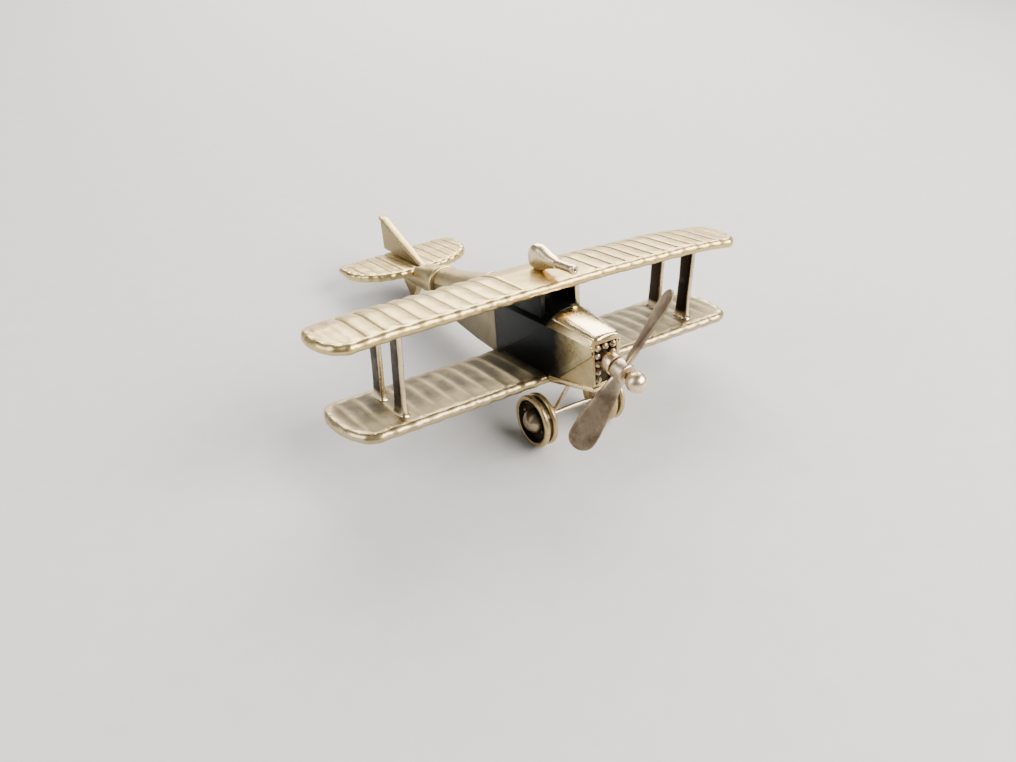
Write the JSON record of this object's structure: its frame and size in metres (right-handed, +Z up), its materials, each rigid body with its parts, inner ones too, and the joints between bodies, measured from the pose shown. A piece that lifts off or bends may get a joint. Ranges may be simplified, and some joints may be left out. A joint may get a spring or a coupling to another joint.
{
  "type": "model biplane",
  "caption": "Small metal model of a propeller biplane with ribbed wings, strut-braced wings, turning propeller and two turning wheels on a fixed undercarriage.",
  "frame": {"origin": "on the floor, under the centre of the bounding box", "axes": "+Y towards the tail, +X to the aircraft's left, +Z up; the aircraft stands on its wheels and tail skid, nose up"},
  "size_m": [0.054, 0.0564, 0.0202],
  "materials": {
    "polished_silver": "polished",
    "satin_silver": "satin, tarnished in the grooves",
    "dark_silver": "oxidised",
    "warm_silver": "polished, brown tarnish"
  },
  "bodies": {
    "airframe": {"aft_deck": "satin_silver", "aft_side_left": "satin_silver", "aft_side_right": "satin_silver", "axle": "dark_silver", "belly_plate": "satin_silver", "body_side_left": "polished_silver", "body_side_right": "polished_silver", "cabane_plate_left": "dark_silver", "cabane_plate_right": "dark_silver", "chin_plate": "polished_silver", "cockpit_rim": "satin_silver", "engine_hood": "polished_silver", "fin": "satin_silver", "forward_deck": "satin_silver", "front_beads": "dark_silver", "gun_barrel": "polished_silver", "gun_breech": "polished_silver", "hub_cap_left": "polished_silver", "hub_cap_right": "polished_silver", "leg_left": "dark_silver", "leg_right": "dark_silver", "lower_wing": "satin_silver", "nose_block": "satin_silver", "propeller_pin": "warm_silver", "propeller_spacer": "dark_silver", "strut_front_left": "polished_silver", "strut_front_right": "polished_silver", "strut_rear_left": "polished_silver", "strut_rear_right": "polished_silver", "tail_cone": "satin_silver", "tail_skid": "satin_silver", "tailplane": "satin_silver", "upper_wing": "satin_silver"},
    "propeller": {"propeller": "warm_silver"},
    "wheel_left": {"wheel_left": "satin_silver"},
    "wheel_right": {"wheel_right": "satin_silver"}
  },
  "joints": [
    {"name": "propeller_spin", "type": "hinge", "parent": "airframe", "child": "propeller", "pos_m": [0, -0.02499, 0.012], "axis": [0, -0.999, -0.044], "continuous": true},
    {"name": "wheel_left_spin", "type": "hinge", "parent": "airframe", "child": "wheel_left", "pos_m": [0.0045, -0.01755, 0.003], "axis": [1, 0, 0], "continuous": true},
    {"name": "wheel_right_spin", "type": "hinge", "parent": "airframe", "child": "wheel_right", "pos_m": [-0.0045, -0.01755, 0.003], "axis": [1, 0, 0], "continuous": true}
  ]
}
